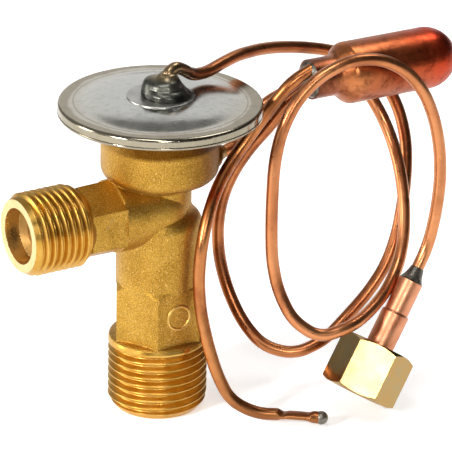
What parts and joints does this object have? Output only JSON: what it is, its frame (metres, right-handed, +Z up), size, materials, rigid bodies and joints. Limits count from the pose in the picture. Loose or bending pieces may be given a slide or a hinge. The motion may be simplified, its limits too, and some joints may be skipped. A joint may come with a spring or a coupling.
{
  "type": "thermostatic expansion valve",
  "caption": "Externally equalised thermostatic expansion valve with threaded ports, round power element, sensing bulb on a capillary, and a flare nut on the equaliser tube.",
  "frame": {"origin": "centre of the outlet port's end face, which the valve stands on", "axes": "+Z up along the valve stem, inlet branch along -X, equaliser boss along +X"},
  "size_m": [0.0912, 0.0502, 0.0701],
  "materials": {
    "brass_forged": "sand-blasted forging, satin",
    "brass_nut": "machined, slightly tarnished",
    "brass_turned": "turned, bright",
    "steel_cover": "bright stainless, light heat tint",
    "steel_inner": "ground steel",
    "spring_wire": "oil-tempered spring wire",
    "mesh_steel": "perforated stainless",
    "seal_rubber": "black rubber",
    "copper_tube": "drawn copper with heat oxide",
    "copper_bulb": "drawn copper, brown and red heat tint",
    "copper_stub": "bright copper",
    "solder_grey": "dull lumpy solder",
    "braze": "dark braze bead"
  },
  "bodies": {
    "valve": {"valve_body": "brass_forged", "head_gasket": "seal_rubber", "head_lower_cover": "steel_cover", "diaphragm": "steel_inner", "head_upper_cover": "steel_cover", "charge_spud": "steel_cover", "head_solder": "solder_grey", "rod_o_ring": "seal_rubber", "packing_retainer": "brass_turned", "orifice_seat": "steel_inner", "superheat_spring": "spring_wire", "inlet_strainer": "mesh_steel", "strainer_ring": "brass_turned", "capillary_tube": "copper_tube", "bulb_neck": "copper_bulb", "bulb_shell": "copper_bulb", "bulb_solder": "solder_grey", "fill_tube": "copper_tube", "fill_tip_solder": "solder_grey", "equalizer_braze": "braze", "equalizer_tube": "copper_tube", "reducer_solder": "solder_grey", "reducer_stub": "copper_stub"},
    "stem": {"pressure_plate": "steel_inner", "push_rod": "steel_inner", "valve_ball": "steel_inner", "ball_carrier": "steel_inner"},
    "seat": {"spring_seat": "brass_turned"},
    "adjuster": {"adjusting_screw": "brass_turned"},
    "nut": {"flare_nut": "brass_nut"}
  },
  "joints": [
    {"name": "stem_lift", "type": "slide", "parent": "valve", "child": "stem", "axis": [0, 0, 1], "range_m": [-0.0008, 0], "stiffness_N_per_m": 8000, "springref_m": 0.002, "deforming": ["superheat_spring"]},
    {"name": "seat_travel", "type": "slide", "parent": "valve", "child": "seat", "axis": [0, 0, 1], "range_m": [-0.00101, 0.00151]},
    {"name": "screw_turn", "type": "hinge", "parent": "seat", "child": "adjuster", "pos_m": [0, 0, 0.007], "axis": [0, 0, 1], "range_deg": [-360, 540]},
    {"name": "nut_spin", "type": "hinge", "parent": "valve", "child": "nut", "pos_m": [0.03328, -0.02309, 0.00831], "axis": [0.5681, 0.1218, 0.8139], "continuous": true}
  ],
  "couplings": [
    {"joint": "seat_travel", "follows": "screw_turn", "m_per_rad": 0.00015915}
  ]
}
